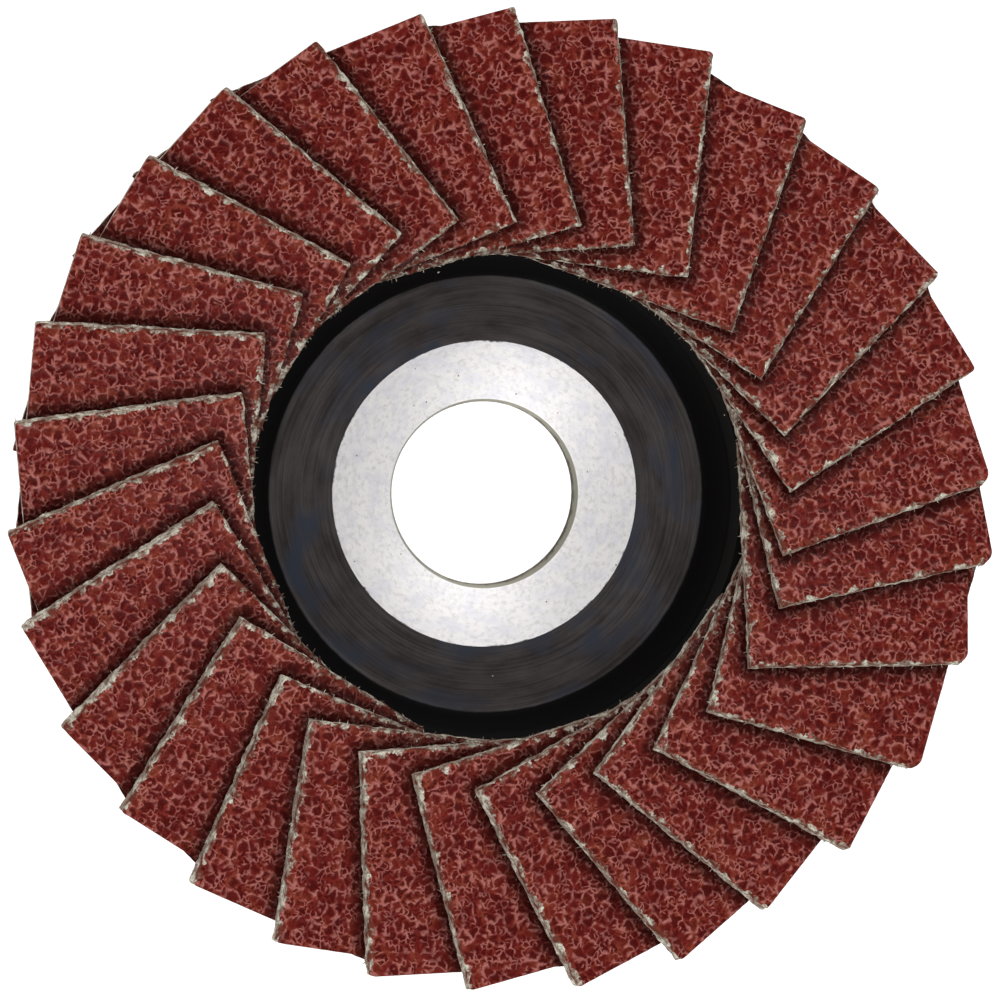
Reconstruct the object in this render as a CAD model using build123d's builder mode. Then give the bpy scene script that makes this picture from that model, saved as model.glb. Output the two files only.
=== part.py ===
from build123d import *
from math import atan2, cos, hypot, radians, sin, sqrt, tan
import os

# Flap disc for a small long-neck angle grinder: thirty abrasive-cloth flaps, laid like roof
# tiles and bonded to a dished plastic backing plate with a steel bush in its bore.
# The origin is the centre of the bore in the plane of the back face, +Z is the disc's axis
# and points to the working side. Sizes are in millimetres.

# ---- driving dimensions -------------------------------------------------------------------
# steel bush
bore_diameter = 10.0
bush_width = 3.35           # from the bore to the plastic around it
bush_thickness = 1.5
bore_mouth_flare = 0.2      # the punched bore opens this much towards the working side
bore_straight_depth = 0.6   # round and straight from the back face up to the flare

# backing plate
turned_face_width = 3.55    # black face around the bush, cut in the same setting
turned_face_rise = 0.5      # that face climbs a little towards the wall
wall_height = 1.85          # from the turned face up to the rim
wall_lean = 1.15            # how much wider the dish is at the rim
plate_thickness = 1.7       # rim
hub_back_inset = 0.45       # the hub's flat back ends this far inside the turned face's edge
back_step_run = 3.0         # conical step between the hub and the rim on the back
rim_width = 9.45
rim_edge_radius = 0.35
back_corner_radius = 0.8

# flaps
flap_count = 30
flap_length = 12.15         # along the free edge
flap_width = 12.0           # along the lay
flap_end_slant = 1.5        # degrees by which the outer end slants out, away from the free edge
flap_thickness = 0.85
flap_gap = 0.08             # air between neighbours
flap_lead = 8.25            # from the line through the axis to the free edge
flap_inner_gap = 0.05       # how far the flaps' inner ends stand back from the dish
first_flap_angle = -15.0    # clockwise from +Y, seen from the working side
worn_corner_radius = 0.6

# The flaps are laid by hand, each a little off its even place. Each list starts at the first
# flap: how far its free outer corner lies along the lay, how far it reaches outwards, and how
# many degrees it is turned about that corner, anticlockwise.
flap_shift = [
    -0.6, -0.5, -0.5, 0.1, 0.1, 0.3, 0.2, 0.7, -0.4, -0.4,
    0.3, 0.3, 0.1, 0.0, 0.1, 0.3, 0.3, 0.2, 0.1, 0.0,
    0.0, 0.3, -0.2, 0.1, 0.1, -0.2, -0.3, -0.3, -0.4, -0.1,
]
flap_reach = [
    0.0, 0.1, 0.2, -0.3, -0.1, 0.1, 0.2, 0.0, 0.8, 0.7,
    0.6, 0.3, 0.0, 0.3, 0.1, -0.2, -0.1, 0.0, -0.2, -0.3,
    -0.1, -0.1, 0.0, -0.2, 0.1, 0.1, -0.1, 0.1, 0.0, -0.2,
]
flap_turn = [
    1.5, 0.8, 1.7, 0.4, -0.3, -0.3, -0.7, -2.7, 2.0, 3.0,
    -1.5, -1.3, -0.1, 1.3, 0.2, 0.0, -0.5, 0.3, -2.4, 1.3,
    0.8, -0.2, 2.4, -1.8, -0.2, -0.6, -1.7, -1.1, -1.0, -3.1,
]
worn_flaps = [8, 9, 10, 11]  # numbers of the flaps whose free outer corner is rubbed round

# glue
glue_under_flaps = 0.6      # from the rim to the lowest flap edge
flap_bite = 0.25            # how deep the flaps' lower edges sit in the glue
glue_inner_gap = 0.15       # the glue stops short of the dish
glue_outer_gap = 0.5        # and of the rim's outer edge
glue_edge_slope = 0.4

# ---- sizes that follow --------------------------------------------------------------------
bore_radius = bore_diameter / 2
bush_radius = bore_radius + bush_width
turned_face_radius = bush_radius + turned_face_width
turned_face_top = bush_thickness + turned_face_rise
dish_radius = turned_face_radius + wall_lean
rim_top = turned_face_top + wall_height
rim_bottom = rim_top - plate_thickness
rim_radius = dish_radius + rim_width
hub_back_radius = turned_face_radius - hub_back_inset

flap_inner = dish_radius + flap_inner_gap
flap_outer = flap_inner + flap_length
flap_tail = flap_lead - flap_width
flap_pitch = radians(360 / flap_count)

# The flaps lie in a family of equal screw surfaces around the disc's axis. Where the surfaces
# are steepest, at the flaps' inner ends, a flap and its gap just fill the pitch.
pitch_arc = flap_pitch * flap_inner
stack_rise = (flap_thickness + flap_gap) / sqrt(1 - ((flap_thickness + flap_gap) / pitch_arc) ** 2)
screw_rise = stack_rise / flap_pitch            # climb for each radian

tail_corner_angle = atan2(flap_tail, flap_inner)
flap_base = rim_top + glue_under_flaps - screw_rise * tail_corner_angle


def glue_height(radius):
    """Height of the flaps' lower edges at this radius, and the bite that the glue takes."""
    tail_angle = atan2(flap_tail, sqrt(radius ** 2 - flap_tail ** 2))
    return flap_base + screw_rise * tail_angle + flap_bite


# ---- steel bush ---------------------------------------------------------------------------
with BuildPart() as bore_ring:
    with BuildSketch() as bush_section:
        Circle(bush_radius)
        Circle(bore_radius, mode=Mode.SUBTRACT)
    extrude(amount=bush_thickness)
    working_face = bore_ring.faces().sort_by(Axis.Z)[-1]
    chamfer(
        working_face.edges().sort_by(SortBy.RADIUS)[0],
        length=bore_mouth_flare,
        length2=bush_thickness - bore_straight_depth,
        reference=working_face,
    )
bore_ring.part.label = "bore_ring"

# ---- backing plate ------------------------------------------------------------------------
PICK_MARGIN = 0.01          # how close a corner must lie to be picked for a fillet

with BuildPart() as backing_plate:
    with BuildSketch(Plane.XZ) as plate_section:
        with BuildLine() as plate_outline:
            Polyline(
                (bush_radius, 0),
                (hub_back_radius, 0),
                (hub_back_radius + back_step_run, rim_bottom),
                (rim_radius, rim_bottom),
                (rim_radius, rim_top),
                (dish_radius, rim_top),
                (turned_face_radius, turned_face_top),
                (bush_radius, bush_thickness),
                close=True,
            )
        make_face()
        corners = plate_section.vertices()
        fillet(corners.group_by(Axis.X)[-1], radius=rim_edge_radius)
        back_corners = [
            corner for corner in plate_section.vertices()
            if hub_back_radius - PICK_MARGIN < corner.X < hub_back_radius + back_step_run + PICK_MARGIN
            and corner.Z < rim_bottom + PICK_MARGIN
        ]
        fillet(back_corners, radius=back_corner_radius)
    revolve(axis=Axis.Z)
backing_plate.part.label = "backing_plate"

# ---- flaps --------------------------------------------------------------------------------
GRID_STEPS = 8              # spans of the grid that a flap's underside is drawn through
FIT_TOLERANCE = 0.002       # how closely that surface keeps to the grid


def sheet_point(number, along_lay, along_radius):
    """A point of one flap's underside, from its place in a flat rectangle, along the lay from the line
    through the axis, and along the radius from the axis."""
    turn = radians(flap_turn[number % len(flap_turn)])
    from_corner_x = along_lay - flap_lead
    from_corner_y = along_radius - flap_outer
    from_inner_end = (along_radius - flap_inner) / flap_length
    from_corner_y -= from_corner_x * tan(radians(flap_end_slant)) * from_inner_end
    x = flap_lead + flap_shift[number % len(flap_shift)]
    x += from_corner_x * cos(turn) - from_corner_y * sin(turn)
    y = flap_outer + flap_reach[number % len(flap_reach)]
    y += from_corner_x * sin(turn) + from_corner_y * cos(turn)
    radius = hypot(x, y)
    lay_angle = atan2(x, y)                     # clockwise from the flap's even place
    clockwise = radians(first_flap_angle) + number * flap_pitch + lay_angle
    height = flap_base + screw_rise * lay_angle
    return (radius * sin(clockwise), radius * cos(clockwise), height)


flaps = []
for number in range(flap_count):
    grid = [
        [
            sheet_point(
                number,
                flap_tail + flap_width * column / GRID_STEPS,
                flap_inner + flap_length * row / GRID_STEPS,
            )
            for row in range(GRID_STEPS + 1)
        ]
        for column in range(GRID_STEPS + 1)
    ]
    underside = Face.make_surface_from_array_of_points(grid, tol=FIT_TOLERANCE)
    outward = underside.normal_at()
    if outward.Z < 0:
        outward = -outward
    with BuildPart() as flap:
        extrude(underside, amount=flap_thickness, dir=outward)
        if number + 1 in worn_flaps:
            free_corner = flap.edges().sort_by_distance(
                Vector(*sheet_point(number, flap_lead, flap_outer)) + outward * flap_thickness / 2
            )[0]
            fillet(free_corner, radius=worn_corner_radius)
    flap.part.label = f"flap_{number + 1:02d}"
    flaps.append(flap)

# ---- glue ---------------------------------------------------------------------------------
glue_inner_radius = dish_radius + glue_inner_gap
glue_outer_radius = rim_radius - glue_outer_gap
with BuildPart() as adhesive_bed:
    with BuildSketch(Plane.XZ) as glue_section:
        with BuildLine() as glue_outline:
            Polyline(
                (glue_inner_radius, rim_top),
                (glue_outer_radius, rim_top),
                (glue_outer_radius - glue_edge_slope, glue_height(glue_outer_radius)),
                (glue_inner_radius + glue_edge_slope, glue_height(hypot(flap_tail, flap_inner))),
                close=True,
            )
        make_face()
    revolve(axis=Axis.Z)
    for flap in flaps:
        add(flap.part, mode=Mode.SUBTRACT)
adhesive_bed.part.label = "adhesive_bed"

# ---- files --------------------------------------------------------------------------------
os.makedirs("parts", exist_ok=True)
for piece in [bore_ring, backing_plate, adhesive_bed, *flaps]:
    export_step(piece.part, f"parts/{piece.part.label}.step")
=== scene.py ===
from math import cos, hypot, pi, radians, sin

import bmesh
import bpy
import numpy as np
from mathutils import Matrix, Vector


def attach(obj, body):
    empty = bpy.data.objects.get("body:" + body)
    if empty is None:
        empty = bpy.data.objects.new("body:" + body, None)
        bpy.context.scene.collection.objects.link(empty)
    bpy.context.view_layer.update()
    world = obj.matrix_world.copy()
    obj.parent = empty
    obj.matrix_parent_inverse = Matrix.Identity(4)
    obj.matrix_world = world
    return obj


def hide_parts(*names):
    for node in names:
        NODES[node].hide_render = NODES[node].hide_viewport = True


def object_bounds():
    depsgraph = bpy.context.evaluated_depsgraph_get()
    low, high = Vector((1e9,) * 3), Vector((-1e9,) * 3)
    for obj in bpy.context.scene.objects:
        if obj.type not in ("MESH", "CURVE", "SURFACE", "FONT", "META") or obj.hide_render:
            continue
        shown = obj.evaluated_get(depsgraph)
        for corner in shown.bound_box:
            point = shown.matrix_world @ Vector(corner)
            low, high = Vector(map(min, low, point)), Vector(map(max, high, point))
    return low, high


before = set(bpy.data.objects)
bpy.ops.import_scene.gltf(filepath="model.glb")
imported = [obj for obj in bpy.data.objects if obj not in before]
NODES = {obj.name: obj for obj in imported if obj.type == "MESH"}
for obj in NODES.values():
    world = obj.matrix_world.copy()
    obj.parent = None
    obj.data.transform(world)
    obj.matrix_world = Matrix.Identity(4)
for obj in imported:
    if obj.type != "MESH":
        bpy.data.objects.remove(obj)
cad_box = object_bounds()

bl_info = {
    "name": "Flap disc",
    "version": (1, 0, 0),
    "blender": (4, 5, 0),
    "location": "3D View > Sidebar > Flap disc",
    "description": "Dresses a small flap disc: abrasive flaps, backing plate, bush and glue",
    "category": "Object",
}

MM = 0.001                      # one millimetre in scene units
FLAPS = sorted(name for name in NODES if name.startswith("flap_"))
WORN_FLAPS = ("flap_08", "flap_09", "flap_10", "flap_11")
WORN_CORNER = 0.62 * MM         # radius of a free corner that is rubbed round
SHARP_CORNER = 0.16 * MM        # and of any other

# what of a flap its neighbour leaves in sight, with a margin: a strip along the free edge, narrower
# at the inner end, and a low strip along the inner end
FREE_STRIP = 6.3 * MM
FREE_STRIP_NARROWING = 2.2 * MM
INNER_STRIP = 1.1 * MM
INNER_STRIP_LENGTH = 10.6 * MM
BLANK_CELLS = 12                # of a blank's coarse grid, each way
FINE_CUTS = 9                   # across each of its cells that shows

BARE_DEPTH = -1.3               # where the coat is gone, in reliefs below the top of the grain
INNER_CHIPPING = 0.75           # below 1, the coat is gone further in along the inner end
FIBRE_BEND = 0.45               # how far a fibre's tip leans, in fibre lengths
WITHIN_NODE = 0.997             # share of a flap's size over which its node is sure to be hit
RAY_START = 50 * MM             # above the disc, looking down on the nodes
RAY_LENGTH = 100 * MM

RADIUS_WEIGHT = 9.0             # of 1 mm of radius against 1 radian, where turning marks are drawn
TURNED_HEIGHT = 1.2             # in mm, between the hub's back and its turned face

BUSH_FACE = 1.5 * MM            # height at which the camera aims
FLOOR_RADIUS = 1.2
FLOOR_DROP = 0.02 * MM          # keeps the floor just clear of the plate's back
LIGHT_DISTANCE = 0.42           # from the disc's axis
LIGHT_HEIGHT = 0.36
LIGHT_SIZE = 0.36


# ---- small helpers ---------------------------------------------------------------------------
def colour(code):
    """A linear colour from an sRGB hex value such as #7a3029."""
    parts = [int(code[start:start + 2], 16) / 255 for start in (1, 3, 5)]
    linear = [part / 12.92 if part <= 0.04045 else ((part + 0.055) / 1.055) ** 2.4 for part in parts]
    return (*linear, 1.0)


def add(tree, kind, inputs=(), out=0, **settings):
    """Adds a node with its settings, sets or links its inputs, and returns one of its outputs."""
    node = tree.nodes.new(kind)
    for name, value in settings.items():
        setattr(node, name, value)
    pairs = inputs.items() if isinstance(inputs, dict) else enumerate(inputs)
    for key, value in pairs:
        if isinstance(value, bpy.types.NodeSocket):
            tree.links.new(value, node.inputs[key])
        elif value is not None:
            node.inputs[key].default_value = value
    return node.outputs[out] if out is not None else None


def new_material(name):
    """An empty node material, its tree and its principled shader."""
    material = bpy.data.materials.new(name)
    material.use_nodes = True
    tree = material.node_tree
    tree.nodes.clear()
    shader = tree.nodes.new("ShaderNodeBsdfPrincipled")
    output = tree.nodes.new("ShaderNodeOutputMaterial")
    tree.links.new(shader.outputs["BSDF"], output.inputs["Surface"])
    return material, tree, shader


def select_only(piece):
    bpy.ops.object.select_all(action="DESELECT")
    piece.select_set(True)
    bpy.context.view_layer.objects.active = piece


def select_faces(piece, wanted):
    """Leaves edit mode's selection on the faces whose middle and normal pass the test."""
    bpy.ops.object.mode_set(mode="EDIT")
    bpy.ops.mesh.select_mode(type="FACE")
    bpy.ops.mesh.select_all(action="DESELECT")
    shape = bmesh.from_edit_mesh(piece.data)
    for face in shape.faces:
        face.select_set(bool(wanted(face.calc_center_median(), face.normal)))
    bmesh.update_edit_mesh(piece.data)


def apply_modifiers(piece):
    select_only(piece)
    for modifier in list(piece.modifiers):
        bpy.ops.object.modifier_apply(modifier=modifier.name)


def dress(node, material):
    """Gives a CAD node its finish."""
    for material_slot in NODES[node].material_slots:
        material_slot.material = material


# ---- sizes and colours -----------------------------------------------------------------------
def length_setting(name, description, millimetres):
    """A length that a user can change."""
    return bpy.props.FloatProperty(
        name=name, description=description, default=millimetres * MM, unit="LENGTH", precision=6)


def colour_setting(name, description, code):
    """A colour that a user can change, from its sRGB hex value."""
    return bpy.props.FloatVectorProperty(
        name=name, description=description, default=colour(code), subtype="COLOR", size=4)


class FlapSettings(bpy.types.PropertyGroup):
    thickness: length_setting(
        "Thickness", "Coated cloth, from its back to the tops of the grain", 0.84)
    coat: length_setting("Coat", "Resin and grain on top of the cloth", 0.26)
    relief: length_setting("Relief", "From the lowest pit to the highest grain", 0.09)
    grain: length_setting("Grain", "Distance from grain to grain", 0.57)
    fray: length_setting("Fray", "How far the cut edges wander", 0.07)
    chip: length_setting("Chipping", "How far from a cut the coat may be gone", 0.3)
    outer_edge: length_setting(
        "Outer edge", "How much less far the coat is chipped along the outer end", 0.45)
    fibres: bpy.props.FloatProperty(
        name="Fibres", description="Loose fibres on each square millimetre of a cut", default=2.5)
    fibre_length: length_setting("Fibre length", "Longest loose fibre", 0.2)
    fibre_thickness: length_setting("Fibre thickness", "A few cotton fibres stuck together", 0.06)
    # partly painted shade: the dark pit colour is the resin's own deeper red together with the shade in
    # the pits; streaks use it too
    pit_colour: colour_setting("Pits", "Resin in the pits", "#380504")
    resin_colour: colour_setting("Resin", "Resin over the grain", "#591510")
    warm_colour: colour_setting("Warm resin", "Thicker resin, here and there", "#6b2e1f")
    # painted highlight: the pale ridge colour stands in for the resin's shine on the ridges
    ridge_highlight_colour: colour_setting("Ridges", "Thin resin on the ridges between pits", "#8e5751")
    cloth_colour: colour_setting("Cloth", "Cut cotton yarn", "#b3afa1")
    soiled_colour: colour_setting("Soiled cloth", "Yarn stained by resin and red dust", "#7a6c61")
    # painted shade: this dark colour stands in for the shadow that the next flap casts in the corner
    # beside it
    painted_shade_colour: colour_setting("Grime", "Dark dust in the corner beside the next flap", "#1c0705")
    stained_colour: colour_setting(
        "Stained cloth", "Yarn under resin that ran over the cut", "#54281f")
    gap_colour: colour_setting("Yarn gaps", "Resin and shade between the yarns", "#4a3a31")


# Patterns are drawn in millimetres, so a texture's scale says how many of its blobs or cells go to
# one millimetre.
def grain(tree, flat, settings):
    """The resin over the grain, at a place of the flat sheet in millimetres: its height, from 0 in the
    pits to 1 on the ridges, how deep in a pit the place lies, and how pale that pit is, from 0 to 1."""
    cell = settings.grain / MM

    def noise(scale, detail, output="Fac"):
        return add(tree, "ShaderNodeTexNoise", {"Vector": flat, "Scale": scale / cell, "Detail": detail},
                   output, noise_dimensions="2D")

    def cells(size, feature, output="Distance"):
        return add(tree, "ShaderNodeTexVoronoi",
                   {"Vector": bent, "Scale": 1.0 / size, "Randomness": 0.9},
                   output, feature=feature, voronoi_dimensions="2D")

    # one cell to each grain, bent out of shape, and in patches about three small ones in its place
    bent = add(tree, "ShaderNodeVectorMath",
               {0: noise(1.1, 1.0, "Color"), 1: (0.75 * cell,) * 3, 2: flat}, operation="MULTIPLY_ADD")
    fine_area = add(tree, "ShaderNodeMapRange", {0: noise(0.7, 1.0), 1: 0.5, 2: 0.56},
                    interpolation_type="SMOOTHSTEP")
    away = add(tree, "ShaderNodeMix", {0: fine_area, 2: cells(cell, "DISTANCE_TO_EDGE"),
                                       3: cells(0.56 * cell, "DISTANCE_TO_EDGE")})
    # the ridges are thin here and thick there, and run together or fade out
    reach = add(tree, "ShaderNodeMapRange", {0: noise(0.9, 2.0), 1: 0.36, 2: 0.66, 3: 0.13, 4: 0.29})
    share = add(tree, "ShaderNodeMath", [away, reach], operation="DIVIDE", use_clamp=True)
    ridge = add(tree, "ShaderNodeMapRange", {0: share, 1: 0.1, 2: 1.0, 3: 1.0, 4: 0.0},
                interpolation_type="SMOOTHSTEP")
    strong = add(tree, "ShaderNodeMapRange", {0: noise(1.1, 2.0), 1: 0.4, 2: 0.55, 3: 0.05, 4: 1.0})
    height = add(tree, "ShaderNodeMath", [ridge, strong], operation="MULTIPLY")
    pit = add(tree, "ShaderNodeMapRange", {0: away, 1: 0.06, 2: 0.3})
    pale = add(tree, "ShaderNodeSeparateXYZ", [cells(cell, "F1", "Color")], "X")
    return height, pit, pale


def chipping(tree, flat, edge, settings):
    """Where the knife broke the coat away from the cloth, from 0 to 1. edge is the distance to the cut,
    in millimetres."""
    wide = add(tree, "ShaderNodeTexNoise",
               {"Vector": flat, "Scale": 1.1, "Detail": 3.0, "Roughness": 0.7}, "Fac",
               noise_dimensions="2D")
    reach = add(tree, "ShaderNodeMapRange", {0: wide, 1: 0.36, 2: 0.68, 3: -0.04, 4: settings.chip / MM},
                clamp=False)
    left = add(tree, "ShaderNodeMath", [reach, edge], operation="SUBTRACT")
    return add(tree, "ShaderNodeMapRange", {0: left, 1: -0.03, 2: 0.03}, interpolation_type="SMOOTHSTEP")


def flap_modifier_tree(settings, fibre):
    """Geometry nodes that fray a flat flap's cut edges, raise its grain and lay it on its CAD node."""
    tree = bpy.data.node_groups.new("Lay flap", "GeometryNodeTree")
    tree.interface.new_socket("Geometry", in_out="INPUT", socket_type="NodeSocketGeometry")
    for name, kind in (
        ("Node", "Object"), ("Above", "Object"), ("Number", "Int"), ("Seed", "Vector"),
        ("Middle", "Vector"), ("Along", "Vector"), ("Outward", "Vector"), ("Normal", "Vector"),
        ("Half", "Vector"),
    ):
        tree.interface.new_socket(name, in_out="INPUT", socket_type="NodeSocket" + kind)
    tree.interface.new_socket("Geometry", in_out="OUTPUT", socket_type="NodeSocketGeometry")
    entry = tree.nodes.new("NodeGroupInput").outputs

    # fibres stand on the free edge and the inner end, and lean out and up, each its own way
    place = add(tree, "GeometryNodeInputPosition")
    normal = add(tree, "GeometryNodeInputNormal")
    facing = add(tree, "ShaderNodeSeparateXYZ", [normal]).node.outputs
    side = add(tree, "ShaderNodeMath", {0: facing["Z"], 1: 0.0, 2: 0.5}, operation="COMPARE")
    not_tail = add(tree, "ShaderNodeMath", [facing["X"], -0.5], operation="GREATER_THAN")
    not_outer = add(tree, "ShaderNodeMath", [facing["Y"], 0.5], operation="LESS_THAN")
    side = add(tree, "ShaderNodeMath", [side, not_tail], operation="MULTIPLY")
    side = add(tree, "ShaderNodeMath", [side, not_outer], operation="MULTIPLY")
    spread = add(tree, "GeometryNodeDistributePointsOnFaces",
                 {"Mesh": entry["Geometry"], "Selection": side, "Density": settings.fibres / MM ** 2,
                  "Seed": entry["Number"]})
    away = add(tree, "FunctionNodeRandomValue",
               {0: (-0.9, -0.9, -0.5), 1: (0.9, 0.9, 1.3), "Seed": entry["Number"]},
               data_type="FLOAT_VECTOR")
    lean = add(tree, "ShaderNodeVectorMath", [spread.node.outputs["Normal"], away], operation="ADD")
    turn = add(tree, "FunctionNodeAlignRotationToVector", {"Vector": lean}, axis="Z")
    twist = add(tree, "FunctionNodeRandomValue", {2: 0.0, 3: 2 * pi, "Seed": entry["Number"]}, 1,
                data_type="FLOAT")
    twist = add(tree, "ShaderNodeCombineXYZ", {"Z": twist})
    twist = add(tree, "FunctionNodeEulerToRotation", [twist])
    turn = add(tree, "FunctionNodeRotateRotation", [turn, twist], rotation_space="LOCAL")
    size = add(tree, "FunctionNodeRandomValue", {2: 0.35, 3: 1.15, "Seed": entry["Number"]}, 1,
               data_type="FLOAT")
    hair = add(tree, "GeometryNodeObjectInfo", {"Object": fibre}, "Geometry")
    hair = add(tree, "GeometryNodeStoreNamedAttribute",
               {"Geometry": hair, "Name": "fibre", "Value": 1.0}, data_type="FLOAT", domain="POINT")
    hairs = add(tree, "GeometryNodeInstanceOnPoints",
                {"Points": spread, "Instance": hair, "Rotation": turn, "Scale": size})
    hairs = add(tree, "GeometryNodeRealizeInstances", [hairs])
    both = tree.nodes.new("GeometryNodeJoinGeometry")
    tree.links.new(entry["Geometry"], both.inputs[0])
    tree.links.new(hairs, both.inputs[0])

    # what the finish needs: the place in the flat sheet and the distance to the nearest cut, in mm,
    # and once the flap is laid, the distance to the flap above, for the painted shade beside it
    flat = add(tree, "ShaderNodeVectorMath", {0: place, 1: (1 / MM,) * 3, 2: entry["Seed"]},
               operation="MULTIPLY_ADD")
    parts = add(tree, "ShaderNodeSeparateXYZ", [place]).node.outputs
    half = add(tree, "ShaderNodeSeparateXYZ", [entry["Half"]]).node.outputs
    free = add(tree, "ShaderNodeMath", [half["X"], parts["X"]], operation="SUBTRACT")
    outer = add(tree, "ShaderNodeMath", [half["Y"], parts["Y"]], operation="SUBTRACT")
    outer = add(tree, "ShaderNodeMath", [outer, settings.outer_edge], operation="ADD")
    inner = add(tree, "ShaderNodeMath", [half["Y"], parts["Y"]], operation="ADD")
    inner = add(tree, "ShaderNodeMath", [inner, INNER_CHIPPING], operation="MULTIPLY")
    ends = add(tree, "ShaderNodeMath", [outer, inner], operation="MINIMUM")
    edge = add(tree, "ShaderNodeMath", [free, ends], operation="MINIMUM")
    edge = add(tree, "ShaderNodeMath", [edge, 1 / MM], operation="MULTIPLY")
    stored = add(tree, "GeometryNodeStoreNamedAttribute",
                 {"Geometry": both.outputs[0], "Name": "flat", "Value": flat},
                 data_type="FLOAT_VECTOR", domain="POINT")
    stored = add(tree, "GeometryNodeStoreNamedAttribute",
                 {"Geometry": stored, "Name": "edge", "Value": edge}, data_type="FLOAT", domain="POINT")

    # the gaps in the grain sink below the top of the sheet, and so does cloth that lost its coat
    height = grain(tree, flat, settings)[0]
    bare = chipping(tree, flat, edge, settings)
    depth = add(tree, "ShaderNodeMath", [height, 1.0], operation="SUBTRACT")
    sink = add(tree, "ShaderNodeMix", {0: bare, 2: depth, 3: BARE_DEPTH})
    sink = add(tree, "ShaderNodeMath", [sink, settings.relief], operation="MULTIPLY")
    on_top = add(tree, "ShaderNodeMath", [parts["Z"], -0.01 * MM], operation="GREATER_THAN")
    is_hair = add(tree, "GeometryNodeInputNamedAttribute", {"Name": "fibre"}, data_type="FLOAT")
    body = add(tree, "ShaderNodeMath", [1.0, is_hair], operation="SUBTRACT")
    sink = add(tree, "ShaderNodeMath", [sink, on_top], operation="MULTIPLY")
    sink = add(tree, "ShaderNodeMath", [sink, body], operation="MULTIPLY")
    lift = add(tree, "ShaderNodeCombineXYZ", {"Z": sink})

    # the cut wanders a little
    wander = add(tree, "ShaderNodeTexNoise", {"Vector": flat, "Scale": 1.7, "Detail": 3.0}, "Color")
    wander = add(tree, "ShaderNodeVectorMath", [wander, (0.5, 0.5, 0.5)], operation="SUBTRACT")
    near = add(tree, "ShaderNodeMapRange", {0: edge, 1: 0.0, 2: 0.4, 3: 4 * settings.fray, 4: 0.0})
    wander = add(tree, "ShaderNodeVectorMath", [wander, (1.0, 1.0, 0.0)], operation="MULTIPLY")
    shaped = add(tree, "ShaderNodeVectorMath", [wander, near, place], operation="MULTIPLY_ADD")
    shaped = add(tree, "ShaderNodeVectorMath", [shaped, lift], operation="ADD")

    # laid straight down on the node in plan, and along the node's normal in depth
    kept = add(tree, "ShaderNodeVectorMath", [entry["Half"], (WITHIN_NODE,) * 3], operation="MULTIPLY")
    least = add(tree, "ShaderNodeVectorMath", [kept, (-1.0,) * 3], operation="MULTIPLY")
    inside = add(tree, "ShaderNodeVectorMath", [shaped, kept], operation="MINIMUM")
    inside = add(tree, "ShaderNodeVectorMath", [inside, least], operation="MAXIMUM")

    def in_plan(point):
        """Where a point of the flat flap comes to lie, as far as it is known without the node, and its
        depth."""
        parts = add(tree, "ShaderNodeSeparateXYZ", [point]).node.outputs
        plan = add(tree, "ShaderNodeVectorMath", [entry["Along"], parts["X"], entry["Middle"]],
                   operation="MULTIPLY_ADD")
        plan = add(tree, "ShaderNodeVectorMath", [entry["Outward"], parts["Y"], plan],
                   operation="MULTIPLY_ADD")
        return plan, parts["Z"]

    start = in_plan(inside)[0]
    start = add(tree, "ShaderNodeVectorMath", [start, (0.0, 0.0, RAY_START)], operation="ADD")
    target = add(tree, "GeometryNodeObjectInfo", {"Object": entry["Node"]}, "Geometry")
    hit = add(tree, "GeometryNodeRaycast",
              {"Target Geometry": target, "Source Position": start, "Ray Direction": (0.0, 0.0, -1.0),
               "Ray Length": RAY_LENGTH}, "Hit Position")
    surface = add(tree, "ShaderNodeSeparateXYZ", [hit], "Z")
    surface = add(tree, "ShaderNodeCombineXYZ", {"Z": surface})
    plan, deep = in_plan(shaped)
    laid = add(tree, "ShaderNodeVectorMath", [plan, surface], operation="ADD")
    laid = add(tree, "ShaderNodeVectorMath", [entry["Normal"], deep, laid], operation="MULTIPLY_ADD")
    # loose fibres stay within the part's own box
    laid = add(tree, "ShaderNodeVectorMath", [laid, tuple(cad_box[0])], operation="MAXIMUM")
    laid = add(tree, "ShaderNodeVectorMath", [laid, tuple(cad_box[1])], operation="MINIMUM")
    moved = add(tree, "GeometryNodeSetPosition", {"Geometry": stored, "Position": laid})
    # painted shade: each point's distance to the flap above, which the finish darkens near that flap
    above = add(tree, "GeometryNodeObjectInfo", {"Object": entry["Above"]}, "Geometry")
    corner = add(tree, "GeometryNodeProximity", {"Geometry": above}, "Distance", target_element="FACES")
    corner = add(tree, "ShaderNodeMath", [corner, 1 / MM], operation="MULTIPLY")
    moved = add(tree, "GeometryNodeStoreNamedAttribute",
                {"Geometry": moved, "Name": "grime", "Value": corner}, data_type="FLOAT", domain="POINT")
    exit_node = tree.nodes.new("NodeGroupOutput")
    tree.links.new(moved, exit_node.inputs[0])
    return tree


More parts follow.
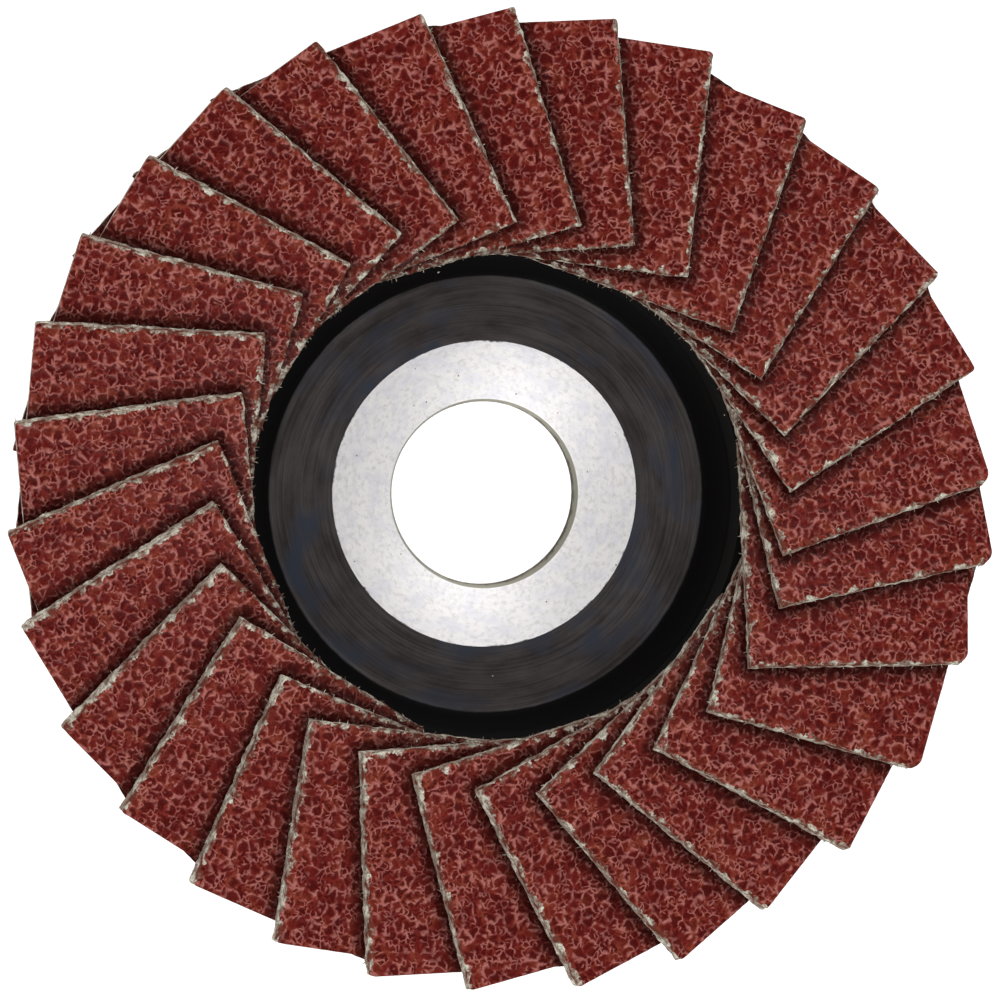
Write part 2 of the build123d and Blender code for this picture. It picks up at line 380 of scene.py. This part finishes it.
def plan_of(node):
    """How a flap lies, from its CAD node: the middle of its grain side in plan, the directions along its
    inner end and its free edge, half its size along each, how much further out its outer end reaches at
    the covered side, and the normal along which it is thick."""
    mesh = node.data
    tops = [face for face in mesh.polygons if face.normal.z > 0.8]
    corners = sorted({index for face in tops for index in face.vertices})
    points = np.array([mesh.vertices[index].co[:2] for index in corners])
    normal = sum((face.normal * face.area for face in tops), Vector()).normalized()
    middle = points.mean(axis=0)
    # the flap is narrowest square to its free edge, which lies within 20 degrees of the radius
    angles = np.arctan2(middle[1], middle[0]) - pi / 2 + np.radians(np.arange(-20, 20, 0.05))
    directions = np.stack((np.cos(angles), np.sin(angles)))
    along = directions[:, np.argmin(np.ptp(points @ directions, axis=0))]
    outward = np.array((-along[1], along[0]))
    x, y = points @ along, points @ outward
    half_x = np.ptp(x) / 2
    outer_end = [y[np.abs(x - side) < 0.15 * half_x].max() for side in (x.min(), x.max())]
    rise = outer_end[0] - outer_end[1]
    half_y = (outer_end[1] - y.min()) / 2
    centre = along * (x.min() + half_x) + outward * (y.min() + half_y)
    return centre, along, outward, (half_x, half_y, rise), normal


def flap_blank(settings, half, corner_radius):
    """A flap as it is cut from the roll: flat, grain side up, its free edge at +X and its inner end
    at -Y."""
    half_x, half_y, rise = half
    bpy.ops.object.select_all(action="DESELECT")
    bpy.ops.mesh.primitive_grid_add(x_subdivisions=BLANK_CELLS, y_subdivisions=BLANK_CELLS, size=2)
    blank = bpy.context.object
    blank.scale = (half_x, half_y, 1)
    bpy.ops.object.transform_apply(location=False, rotation=False, scale=True)
    solid = blank.modifiers.new("thickness", "SOLIDIFY")
    solid.thickness = settings.thickness
    solid.offset = -1
    apply_modifiers(blank)

    def shows(middle, normal):
        """Whether a face has to be fine enough for the grain, the chipped coat or the frayed cut."""
        if normal.z > 0.5:
            narrower = FREE_STRIP_NARROWING * (half_y - middle.y) / (2 * half_y)
            inner_strip = middle.y < -half_y + INNER_STRIP and middle.x > half_x - INNER_STRIP_LENGTH
            return middle.x > half_x - FREE_STRIP + narrower or inner_strip
        return abs(normal.z) < 0.5 and normal.x > -0.5

    select_faces(blank, shows)
    bpy.ops.mesh.subdivide(number_cuts=FINE_CUTS, ngon=True, quadcorner="INNERVERT")
    bpy.ops.object.mode_set(mode="OBJECT")
    for vertex in blank.data.vertices:
        from_free_edge = (half_x - vertex.co.x) / (2 * half_x)
        vertex.co.y += rise * from_free_edge * (vertex.co.y + half_y) / (2 * half_y)
        dx = vertex.co.x - (half_x - corner_radius)
        dy = vertex.co.y - (half_y - corner_radius)
        if dx > 0 and dy > 0:
            shrink = max(dx, dy) / hypot(dx, dy)
            vertex.co.x = half_x - corner_radius + dx * shrink
            vertex.co.y = half_y - corner_radius + dy * shrink
    return blank


def coated_cloth_material(settings):
    """Aluminium oxide grain under red-brown phenolic resin, on cotton cloth: satin ridges, painted pale
    as a highlight, around dark wet-looking pits, partly painted shade, on top, and dull grey-beige yarn
    where the knife went through."""
    material, tree, shader = new_material("Coated abrasive, resin over grain on cotton cloth")
    flat = add(tree, "ShaderNodeAttribute", out="Vector", attribute_name="flat")
    edge = add(tree, "ShaderNodeAttribute", out="Fac", attribute_name="edge")
    hair = add(tree, "ShaderNodeAttribute", out="Fac", attribute_name="fibre")
    height, pit, pale = grain(tree, flat, settings)
    # fibres and pinholes, coarser than real ones so that they show, and patches a millimetre across
    fine = add(tree, "ShaderNodeTexNoise",
               {"Vector": flat, "Scale": 7.0, "Detail": 2.0, "Roughness": 0.65}, "Fac")
    cloudy = add(tree, "ShaderNodeTexNoise", {"Vector": flat, "Scale": 0.9, "Detail": 2.0}, "Fac",
                 noise_dimensions="2D")

    # resin: mid red beside the ridges, dark in the pits, partly as painted shade, with a warm fleck on
    # some grains, and a painted highlight, pale grey-pink, on the ridges where the resin would shine
    core = add(tree, "ShaderNodeMapRange", [pale, 0.3, 0.9, 1.0, 0.35])
    core = add(tree, "ShaderNodeMath", [pit, core], operation="MULTIPLY")
    mottle = add(tree, "ShaderNodeMapRange", [fine, 0.35, 0.65, -0.4, 0.5])
    core = add(tree, "ShaderNodeMath", [mottle, core], operation="ADD", use_clamp=True)
    by_cut = add(tree, "ShaderNodeMapRange", [edge, 0.0, 0.8, 0.6, 0.0])
    warm = add(tree, "ShaderNodeMapRange", [cloudy, 0.52, 0.68, 0.0, 0.7])
    warm = add(tree, "ShaderNodeMath", [warm, by_cut], operation="ADD", use_clamp=True)
    resin = add(tree, "ShaderNodeMix", {0: warm, 6: tuple(settings.resin_colour),
                                        7: tuple(settings.warm_colour)}, 2, data_type="RGBA")
    # partly painted shade: the pits are darkened towards the pit colour
    red = add(tree, "ShaderNodeMix", {0: core, 6: resin, 7: tuple(settings.pit_colour)}, 2,
              data_type="RGBA")
    fleck = add(tree, "ShaderNodeMapRange", [fine, 0.56, 0.66, 0.0, 0.8])
    fleck = add(tree, "ShaderNodeMath", [pit, fleck], operation="MULTIPLY")
    red = add(tree, "ShaderNodeMix", {0: fleck, 6: red, 7: resin}, 2, data_type="RGBA")
    # painted highlight on the ridges, broken up by the fine noise
    ridge_highlight = add(tree, "ShaderNodeMapRange", [fine, 0.28, 0.6, 0.45, 1.0])
    ridge_highlight = add(tree, "ShaderNodeMath", [height, ridge_highlight], operation="MULTIPLY")
    red = add(tree, "ShaderNodeMix", {0: ridge_highlight, 6: red, 7: tuple(settings.ridge_highlight_colour)}, 2,
              data_type="RGBA")
    # the coat is thinner, and darker, in streaks
    streak = add(tree, "ShaderNodeMapRange", [cloudy, 0.32, 0.5, 0.4, 0.0])
    red = add(tree, "ShaderNodeMix", {0: streak, 6: red, 7: tuple(settings.pit_colour)}, 2,
              data_type="RGBA")
    # painted shade: darker in the corner beside the flap above, where its shadow falls
    grime = add(tree, "ShaderNodeAttribute", out="Fac", attribute_name="grime")
    uneven = add(tree, "ShaderNodeMapRange", [fine, 0.3, 0.7, -0.25, 0.25])
    grime = add(tree, "ShaderNodeMath", [uneven, grime], operation="ADD")
    grime = add(tree, "ShaderNodeMapRange", [grime, 0.08, 0.75, 0.9, 0.0])
    red = add(tree, "ShaderNodeMix", {0: grime, 6: red, 7: tuple(settings.painted_shade_colour)}, 2,
              data_type="RGBA")
    # cloth: below the coat, where the coat has chipped off, and every fibre
    depth = add(tree, "ShaderNodeSeparateXYZ", [flat], "Z")
    ragged = add(tree, "ShaderNodeMath", [fine, 0.35, depth], operation="MULTIPLY_ADD")
    middle_of_coat = -0.5 * settings.coat / MM
    low = add(tree, "ShaderNodeMapRange", [ragged, 0.175 + middle_of_coat, 0.125 + middle_of_coat])
    bare = chipping(tree, flat, edge, settings)
    cloth = add(tree, "ShaderNodeMath", [low, bare], operation="MAXIMUM")
    cloth = add(tree, "ShaderNodeMath", [cloth, hair], operation="MAXIMUM")
    clean = add(tree, "ShaderNodeTexNoise",
                {"Vector": flat, "Scale": 1.4, "Detail": 3.0, "Roughness": 0.65}, "Fac")
    yarn = add(tree, "ShaderNodeMapRange", [clean, 0.5, 0.62])
    yarn = add(tree, "ShaderNodeMix", {0: yarn, 6: tuple(settings.soiled_colour),
                                       7: tuple(settings.cloth_colour)}, 2, data_type="RGBA")
    filled = add(tree, "ShaderNodeMapRange", [fine, 0.36, 0.56, 0.35, 1.0])
    yarn = add(tree, "ShaderNodeMix", {0: filled, 6: tuple(settings.gap_colour), 7: yarn}, 2,
               data_type="RGBA")
    # resin stains the yarn near the coat, and not at the back
    unstained = add(tree, "ShaderNodeMapRange", [depth, -0.35, -0.8, -0.03, 0.2])
    unstained = add(tree, "ShaderNodeMath", [unstained, clean], operation="ADD")
    unstained = add(tree, "ShaderNodeMapRange", [unstained, 0.4, 0.49])
    yarn = add(tree, "ShaderNodeMix", {0: unstained, 6: tuple(settings.stained_colour), 7: yarn}, 2,
               data_type="RGBA")
    base = add(tree, "ShaderNodeMix", {0: cloth, 6: red, 7: yarn}, 2, data_type="RGBA")
    tree.links.new(base, shader.inputs["Base Color"])
    rough = add(tree, "ShaderNodeMapRange", [cloth, 0.0, 1.0, 0.3, 0.95])
    tree.links.new(rough, shader.inputs["Roughness"])
    # the resin's shine is mostly painted on the ridges as a pale highlight, so the shader's own shine is
    # low
    shader.inputs["Specular IOR Level"].default_value = 0.06
    bump = add(tree, "ShaderNodeBump",
               {"Strength": 1.0, "Distance": 0.35 * settings.relief, "Height": fine}, "Normal")
    tree.links.new(bump, shader.inputs["Normal"])
    return material


def fibre_blank(settings):
    """One cotton fibre, a thin bent spike with its root at the origin."""
    bpy.ops.mesh.primitive_cone_add(vertices=3, radius1=settings.fibre_thickness / 2,
                                    radius2=settings.fibre_thickness / 5, depth=settings.fibre_length)
    fibre = bpy.context.object
    fibre.name = "fibre"
    bpy.ops.object.mode_set(mode="EDIT")
    bpy.ops.mesh.select_all(action="SELECT")
    bpy.ops.transform.translate(value=(0, 0, settings.fibre_length / 2))
    for part in (1, 2):
        bpy.ops.mesh.select_all(action="SELECT")
        bpy.ops.mesh.bisect(plane_co=(0, 0, settings.fibre_length * part / 3), plane_no=(0, 0, 1))
    bpy.ops.object.mode_set(mode="OBJECT")
    for vertex in fibre.data.vertices:
        rise = vertex.co.z / settings.fibre_length
        vertex.co.x += FIBRE_BEND * settings.fibre_length * rise * rise
    return fibre


class DISC_OT_flaps(bpy.types.Operator):
    """Model a flap blank and lay a copy on each flap of the disc"""
    bl_idname = "flap_disc.flaps"
    bl_label = "Flaps"

    def execute(self, context):
        settings = context.scene.flap_disc_flaps
        material = coated_cloth_material(settings)
        fibre = fibre_blank(settings)
        tree = flap_modifier_tree(settings, fibre)
        sockets = {item.name: item.identifier for item in tree.interface.items_tree
                   if item.in_out == "INPUT"}
        lies = {name: plan_of(NODES[name]) for name in FLAPS}
        half = tuple(np.mean([lie[3] for name, lie in lies.items() if name not in WORN_FLAPS], axis=0))
        blanks = {worn: flap_blank(settings, half, WORN_CORNER if worn else SHARP_CORNER)
                  for worn in (False, True)}
        for number, name in enumerate(FLAPS, start=1):
            centre, along, outward, _, normal = lies[name]
            flap = blanks[name in WORN_FLAPS].copy()
            flap.data = flap.data.copy()
            flap.name = flap.data.name = f"{name}_cloth"
            context.collection.objects.link(flap)
            lay = flap.modifiers.new("lay", "NODES")
            lay.node_group = tree
            lay[sockets["Node"]] = NODES[name]
            lay[sockets["Above"]] = NODES[FLAPS[number - 2]]
            lay[sockets["Number"]] = number
            # each flap shows another part of the pattern
            lay[sockets["Seed"]] = (number * 31.7, number * 17.3, 0.0)
            lay[sockets["Middle"]] = (centre[0], centre[1], 0.0)
            lay[sockets["Along"]] = (along[0], along[1], 0.0)
            lay[sockets["Outward"]] = (outward[0], outward[1], 0.0)
            lay[sockets["Normal"]] = tuple(normal)
            lay[sockets["Half"]] = (half[0], half[1], 1.0)
            apply_modifiers(flap)
            flap.data.materials.clear()
            flap.data.materials.append(material)
            bpy.ops.object.shade_smooth_by_angle(angle=radians(65))
            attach(flap, "root")
            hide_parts(name)
        for helper in (fibre, *blanks.values()):
            bpy.data.objects.remove(helper)
        return {"FINISHED"}


# ---- backing plate, bush and glue ------------------------------------------------------------
class HubSettings(bpy.types.PropertyGroup):
    turned_radius: length_setting("Turned radius", "Where the turned face ends", 11.9)
    bush_radius: length_setting("Bush radius", "Where the bush ends", 8.35)
    bore_radius: length_setting("Bore radius", "Of the hole in the bush", 5.0)
    groove: length_setting("Groove", "From one turning mark to the next", 0.11)
    groove_depth: length_setting("Groove depth", "Of the turning marks", 0.004)
    moulded_colour: colour_setting("Moulded plastic", "Black skin of the moulding", "#060505")
    turned_colour: colour_setting(
        "Turned plastic", "Grey where the tool cut through the skin", "#282323")
    marks_colour: colour_setting("Turning marks", "Lighter rings in the turned plastic", "#433f3f")
    smudge_colour: colour_setting("Smudges", "Bluish bloom on the turned plastic", "#2e323b")
    steel_colour: colour_setting("Steel", "Turned mild steel", "#fdfbfb")
    cool_colour: colour_setting("Cool steel", "Patches with a bluish cast", "#eeedf4")
    bore_colour: colour_setting("Bore", "Dull steel of the bore's wall", "#979588")
    pit_colour: colour_setting("Pits", "Small pits in the turned steel", "#6f6d70")
    # painted shade: the bore's wall is painted darker and browner further down, where less light reaches
    bore_shade_colour: colour_setting("Bore stain", "Brown stain on the bore's wall", "#544a42")
    stain_colour: colour_setting("Stain", "Steel where plastic dust is rubbed in", "#cfcac8")
    epoxy_colour: colour_setting("Epoxy", "Cured black glue", "#0b0a09")
    dust_colour: colour_setting("Dust", "Cloth dust", "#a09888")
    grit_colour: colour_setting("Grit", "Loose red grain", "#5a1c1a")


def polar(tree):
    """The place on the disc, in millimetres: the radius, the height, and a vector of the radius and the
    direction in which turning marks run round without a seam."""
    place = add(tree, "ShaderNodeTexCoord", out="Object")
    place = add(tree, "ShaderNodeVectorMath", [place, (1 / MM,) * 3], operation="MULTIPLY")
    flat = add(tree, "ShaderNodeVectorMath", [place, (1.0, 1.0, 0.0)], operation="MULTIPLY")
    radius = add(tree, "ShaderNodeVectorMath", [flat], "Value", operation="LENGTH")
    way = add(tree, "ShaderNodeVectorMath", [flat], operation="NORMALIZE")
    height = add(tree, "ShaderNodeSeparateXYZ", [place], "Z")
    round_it = add(tree, "ShaderNodeVectorMath", [(0.0, 0.0, RADIUS_WEIGHT), radius, way],
                   operation="MULTIPLY_ADD")
    return place, radius, height, round_it


def specks(tree, place, spacing, size, share):
    """Scattered specks, from 0 to 1: one to each cell of that spacing in mm, in a share of the cells."""
    cells = add(tree, "ShaderNodeTexVoronoi", {"Vector": place, "Scale": 1 / spacing}, "Distance",
                feature="F1")
    near = add(tree, "ShaderNodeMath", [cells, size / spacing], operation="LESS_THAN")
    chosen = add(tree, "ShaderNodeSeparateXYZ", [cells.node.outputs["Color"]], "X")
    chosen = add(tree, "ShaderNodeMath", [chosen, share], operation="LESS_THAN")
    return add(tree, "ShaderNodeMath", [near, chosen], operation="MULTIPLY")


def smudges(tree, round_it, around, across, detail=4.0):
    """Cloudy patches drawn out along the rings, from 0 to 1. around is how many fit in a radian, and
    across is their width in millimetres."""
    counts = (around, around, 1 / (RADIUS_WEIGHT * across))
    drawn_out = add(tree, "ShaderNodeVectorMath", [round_it, counts], operation="MULTIPLY")
    return add(tree, "ShaderNodeTexNoise",
               {"Vector": drawn_out, "Scale": 1.0, "Detail": detail, "Roughness": 0.65}, "Fac")


def turning_marks(tree, round_it, spacing):
    """Fine uneven rings, from 0 to 1."""
    scale = 1 / (RADIUS_WEIGHT * spacing)
    return add(tree, "ShaderNodeTexNoise",
               {"Vector": round_it, "Scale": scale, "Detail": 3.0, "Roughness": 0.7}, "Fac")


def plastic_material(settings):
    """Glass-filled plastic: black as it was moulded, and satin grey with concentric marks on the face
    that was turned with the bush. Cloth dust and a little red grit have settled on it."""
    material, tree, shader = new_material("Glass-filled plastic, moulded and turned")
    place, radius, height, round_it = polar(tree)
    ragged = add(tree, "ShaderNodeTexNoise", {"Vector": place, "Scale": 1.4, "Detail": 4.0}, "Fac")
    ragged = add(tree, "ShaderNodeMath", [ragged, 0.1, radius], operation="MULTIPLY_ADD")
    end = settings.turned_radius / MM
    turned = add(tree, "ShaderNodeMapRange", [ragged, end + 0.06, end - 0.04])
    front = add(tree, "ShaderNodeMath", [height, TURNED_HEIGHT], operation="GREATER_THAN")
    turned = add(tree, "ShaderNodeMath", [turned, front], operation="MULTIPLY")
    marks = turning_marks(tree, round_it, settings.groove / MM)
    shade = add(tree, "ShaderNodeMath", [marks, smudges(tree, round_it, 3.0, 1.2)], operation="MULTIPLY")
    shade = add(tree, "ShaderNodeMapRange", [shade, 0.14, 0.38])
    face = add(tree, "ShaderNodeMix", {0: shade, 6: tuple(settings.turned_colour),
                                       7: tuple(settings.marks_colour)}, 2, data_type="RGBA")
    blue = add(tree, "ShaderNodeMapRange", [smudges(tree, round_it, 2.2, 2.0, 2.0), 0.5, 0.68])
    face = add(tree, "ShaderNodeMix", {0: blue, 6: face, 7: tuple(settings.smudge_colour)}, 2,
               data_type="RGBA")
    base = add(tree, "ShaderNodeMix", {0: turned, 6: tuple(settings.moulded_colour), 7: face}, 2,
               data_type="RGBA")
    dust = specks(tree, place, 1.5, 0.07, 0.3)
    elsewhere = add(tree, "ShaderNodeVectorMath", [place, (4.3, 0.0, 0.0)], operation="ADD")
    grit = specks(tree, elsewhere, 1.7, 0.12, 0.12)
    for share, fallen in ((dust, settings.dust_colour), (grit, settings.grit_colour)):
        base = add(tree, "ShaderNodeMix", {0: share, 6: base, 7: tuple(fallen)}, 2, data_type="RGBA")
    tree.links.new(base, shader.inputs["Base Color"])
    # satin, with little shine because glass fibres break the surface, and drawn out across the marks
    rough = add(tree, "ShaderNodeMapRange", {0: turned, 3: 0.5, 4: 0.42})
    tree.links.new(rough, shader.inputs["Roughness"])
    shader.inputs["Specular IOR Level"].default_value = 0.03
    along = add(tree, "ShaderNodeTangent", direction_type="RADIAL", axis="Z")
    tree.links.new(along, shader.inputs["Tangent"])
    shader.inputs["Anisotropic"].default_value = 0.6
    shader.inputs["Anisotropic Rotation"].default_value = 0.25
    bump = add(tree, "ShaderNodeBump",
               {"Strength": 1.0, "Distance": settings.groove_depth, "Height": marks})
    tree.links.new(bump, shader.inputs["Normal"])
    return material


def steel_material(settings):
    """Mild steel turned on the face: bright satin, brightest across the rings that face a light, with
    fine concentric marks, a few pits, plastic smeared over its outer edge and a dull bore, painted
    darker further down as shade."""
    material, tree, shader = new_material("Mild steel, turned")
    place, radius, height, round_it = polar(tree)
    marks = turning_marks(tree, round_it, settings.groove / MM)
    stain = smudges(tree, round_it, 22.0, 0.22, 5.0)
    stain = add(tree, "ShaderNodeMapRange", [stain, 0.48, 0.72, 0.0, 0.5])
    base = add(tree, "ShaderNodeMix", {0: stain, 6: tuple(settings.steel_colour),
                                       7: tuple(settings.stain_colour)}, 2, data_type="RGBA")
    cool = smudges(tree, round_it, 5.0, 0.8)
    cool = add(tree, "ShaderNodeMapRange", [cool, 0.46, 0.66, 0.0, 0.6])
    base = add(tree, "ShaderNodeMix", {0: cool, 6: base, 7: tuple(settings.cool_colour)}, 2,
               data_type="RGBA")
    rings = add(tree, "ShaderNodeMapRange", [marks, 0.3, 0.7, 0.96, 1.0])
    base = add(tree, "ShaderNodeMix", {0: 1.0, 6: base, 7: rings}, 2, data_type="RGBA",
               blend_type="MULTIPLY")
    pits = specks(tree, place, 0.8, 0.045, 0.35)
    base = add(tree, "ShaderNodeMix", {0: pits, 6: base, 7: tuple(settings.pit_colour)}, 2,
               data_type="RGBA")
    # the bore: pale where it flares, and painted shade below, darker and browner further down
    wall_end = settings.bore_radius / MM
    bore = add(tree, "ShaderNodeMapRange", [radius, wall_end + 0.19, wall_end + 0.15])
    bore_shade = add(tree, "ShaderNodeTexNoise",
               {"Vector": place, "Scale": 1.2, "Detail": 4.0, "Roughness": 0.7}, "Fac")
    bore_shade = add(tree, "ShaderNodeMath", [bore_shade, -1.2, height], operation="MULTIPLY_ADD")
    bore_shade = add(tree, "ShaderNodeMapRange", [bore_shade, 0.25, -0.1])
    wall = add(tree, "ShaderNodeMix", {0: bore_shade, 6: tuple(settings.bore_colour),
                                       7: tuple(settings.bore_shade_colour)}, 2, data_type="RGBA")
    base = add(tree, "ShaderNodeMix", {0: bore, 6: base, 7: wall}, 2, data_type="RGBA")
    # plastic smeared over the outer edge
    smear = add(tree, "ShaderNodeTexNoise",
                {"Vector": place, "Scale": 4.5, "Detail": 4.0, "Roughness": 0.7}, "Fac")
    nicks = add(tree, "ShaderNodeTexNoise", {"Vector": place, "Scale": 1.1, "Detail": 2.0}, "Fac")
    nicks = add(tree, "ShaderNodeMapRange", [nicks, 0.5, 0.75, 0.08, 0.3])
    smear = add(tree, "ShaderNodeMath", [smear, nicks, radius], operation="MULTIPLY_ADD")
    bush_end = settings.bush_radius / MM
    dark = add(tree, "ShaderNodeMapRange", [smear, bush_end + 0.02, bush_end + 0.1])
    base = add(tree, "ShaderNodeMix", {0: dark, 6: base, 7: tuple(settings.marks_colour)}, 2,
               data_type="RGBA")
    tree.links.new(base, shader.inputs["Base Color"])
    metal = add(tree, "ShaderNodeMath", [1.0, dark], operation="SUBTRACT")
    tree.links.new(metal, shader.inputs["Metallic"])
    # the marks spread the shine widely across the rings, so that the whole face looks lit
    shader.inputs["Roughness"].default_value = 0.78
    along = add(tree, "ShaderNodeTangent", direction_type="RADIAL", axis="Z")
    tree.links.new(along, shader.inputs["Tangent"])
    shader.inputs["Anisotropic"].default_value = 0.75
    shader.inputs["Anisotropic Rotation"].default_value = 0.25
    relief = add(tree, "ShaderNodeMath", [dark, -2.0, marks], operation="MULTIPLY_ADD")
    bump = add(tree, "ShaderNodeBump",
               {"Strength": 1.0, "Distance": settings.groove_depth, "Height": relief})
    tree.links.new(bump, shader.inputs["Normal"])
    return material


def epoxy_material(settings):
    """Cured epoxy: black and smooth, with cloth dust caught in it."""
    material, tree, shader = new_material("Epoxy, cured black")
    place = polar(tree)[0]
    dust = specks(tree, place, 0.7, 0.05, 0.3)
    base = add(tree, "ShaderNodeMix", {0: dust, 6: tuple(settings.epoxy_colour),
                                       7: tuple(settings.dust_colour)}, 2, data_type="RGBA")
    tree.links.new(base, shader.inputs["Base Color"])
    shader.inputs["Roughness"].default_value = 0.3
    shader.inputs["Specular IOR Level"].default_value = 0.06
    return material


class DISC_OT_hub(bpy.types.Operator):
    """Finish the backing plate, the steel bush and the glue"""
    bl_idname = "flap_disc.hub"
    bl_label = "Hub"

    def execute(self, context):
        settings = context.scene.flap_disc_hub
        dress("backing_plate", plastic_material(settings))
        dress("bore_ring", steel_material(settings))
        dress("adhesive_bed", epoxy_material(settings))
        return {"FINISHED"}


# ---- stage -----------------------------------------------------------------------------------
class StageSettings(bpy.types.PropertyGroup):
    distance: length_setting("Distance", "From the camera to the bush's face", 400)
    tilt: bpy.props.FloatProperty(
        name="Tilt", description="Of the view away from the disc's axis",
        default=radians(8.35), unit="ROTATION")
    side: bpy.props.FloatProperty(
        name="Side", description="To which the camera leans, anticlockwise from +X",
        default=radians(160.1), unit="ROTATION")
    frame_width: length_setting("Frame width", "Seen at the bush's face", 54.47)
    tent: bpy.props.FloatProperty(
        name="Tent", description="Light from the white tent all round", default=1.75)
    opening: bpy.props.FloatProperty(
        name="Opening", description="Light from the tent's opening above, where the camera is",
        default=0.42)
    far_light: bpy.props.FloatProperty(name="Far light", description="Power, in watts", default=1.3)
    near_light: bpy.props.FloatProperty(name="Near light", description="Power, in watts", default=1.6)
    aim_x: length_setting("Aim X", "Middle of the frame", 0.85)
    aim_y: length_setting("Aim Y", "Middle of the frame", -0.35)


def soft_light(name, place, size, power):
    """A round area light that faces the disc."""
    data = bpy.data.lights.new(name, "AREA")
    data.shape = "DISK"
    data.size = size
    data.energy = power
    light = bpy.data.objects.new(name, data)
    bpy.context.collection.objects.link(light)
    light.location = place
    light.rotation_euler = place.to_track_quat("Z", "Y").to_euler()


class DISC_OT_stage(bpy.types.Operator):
    """Set the disc on a pale floor under soft light, with the camera above it"""
    bl_idname = "flap_disc.stage"
    bl_label = "Stage"

    def execute(self, context):
        stage = context.scene.flap_disc_stage
        bpy.ops.object.select_all(action="DESELECT")
        bpy.ops.mesh.primitive_circle_add(vertices=96, radius=FLOOR_RADIUS, fill_type="NGON",
                                          location=(0, 0, -FLOOR_DROP))
        floor = context.object
        floor.name = "floor"
        material, tree, shader = new_material("Pale card")
        shader.inputs["Base Color"].default_value = colour("#8c8c8c")
        shader.inputs["Roughness"].default_value = 0.8
        shader.inputs["Emission Color"].default_value = colour("#ffffff")
        shader.inputs["Emission Strength"].default_value = 0.9
        floor.data.materials.append(material)

        camera = bpy.data.objects.new("camera", bpy.data.cameras.new("camera"))
        context.collection.objects.link(camera)
        context.scene.camera = camera
        away = Vector((sin(stage.tilt) * cos(stage.side), sin(stage.tilt) * sin(stage.side),
                       cos(stage.tilt)))
        right = Vector((0, 1, 0)).cross(away).normalized()
        up = away.cross(right)
        aim = Vector((stage.aim_x, stage.aim_y, BUSH_FACE))
        turn = Matrix((right, up, away)).transposed()
        camera.matrix_world = Matrix.Translation(aim + away * stage.distance) @ turn.to_4x4()
        camera.data.sensor_width = 36.0
        camera.data.lens = camera.data.sensor_width * stage.distance / stage.frame_width
        camera.data.clip_start = 0.005

        world = bpy.data.worlds.new("studio")
        context.scene.world = world
        world.use_nodes = True
        tree = world.node_tree
        tree.nodes.clear()
        direction = add(tree, "ShaderNodeTexCoord", out="Generated")
        upward = add(tree, "ShaderNodeSeparateXYZ", [direction], "Z")
        # the opening reaches 36 degrees from straight up, and its soft edge ends at 52
        tent = add(tree, "ShaderNodeMapRange",
                   [upward, cos(radians(52)), cos(radians(36)), stage.tent, stage.opening],
                   interpolation_type="SMOOTHSTEP")
        background = add(tree, "ShaderNodeBackground", {"Color": (1, 1, 1, 1), "Strength": tent})
        add(tree, "ShaderNodeOutputWorld", {"Surface": background}, None)
        for name, angle, power in (("far_light", 75, stage.far_light),
                                   ("near_light", 255, stage.near_light)):
            place = Vector((cos(radians(angle)), sin(radians(angle)), 0)) * LIGHT_DISTANCE
            soft_light(name, place + Vector((0, 0, LIGHT_HEIGHT)), LIGHT_SIZE, power)
        context.scene.view_settings.view_transform = "Standard"
        return {"FINISHED"}


# ---- panel and registration --------------------------------------------------------------------
class DISC_PT_panel(bpy.types.Panel):
    bl_idname = "DISC_PT_panel"
    bl_label = "Flap disc"
    bl_space_type = "VIEW_3D"
    bl_region_type = "UI"
    bl_category = "Flap disc"

    def draw(self, context):
        for operator in OPERATORS:
            self.layout.operator(operator.bl_idname)
        scene = context.scene
        for settings in (scene.flap_disc_flaps, scene.flap_disc_hub, scene.flap_disc_stage):
            for name in settings.bl_rna.properties.keys():
                if name not in ("rna_type", "name"):
                    self.layout.prop(settings, name)


OPERATORS = (DISC_OT_flaps, DISC_OT_hub, DISC_OT_stage)
CLASSES = (FlapSettings, HubSettings, StageSettings, *OPERATORS, DISC_PT_panel)


def register():
    for item in CLASSES:
        bpy.utils.register_class(item)
    bpy.types.Scene.flap_disc_flaps = bpy.props.PointerProperty(type=FlapSettings)
    bpy.types.Scene.flap_disc_hub = bpy.props.PointerProperty(type=HubSettings)
    bpy.types.Scene.flap_disc_stage = bpy.props.PointerProperty(type=StageSettings)


def unregister():
    del bpy.types.Scene.flap_disc_stage
    del bpy.types.Scene.flap_disc_hub
    del bpy.types.Scene.flap_disc_flaps
    for item in reversed(CLASSES):
        bpy.utils.unregister_class(item)


def main():
    register()
    bpy.ops.flap_disc.flaps()
    bpy.ops.flap_disc.hub()
    bpy.ops.flap_disc.stage()


if __name__ == "__main__":
    main()
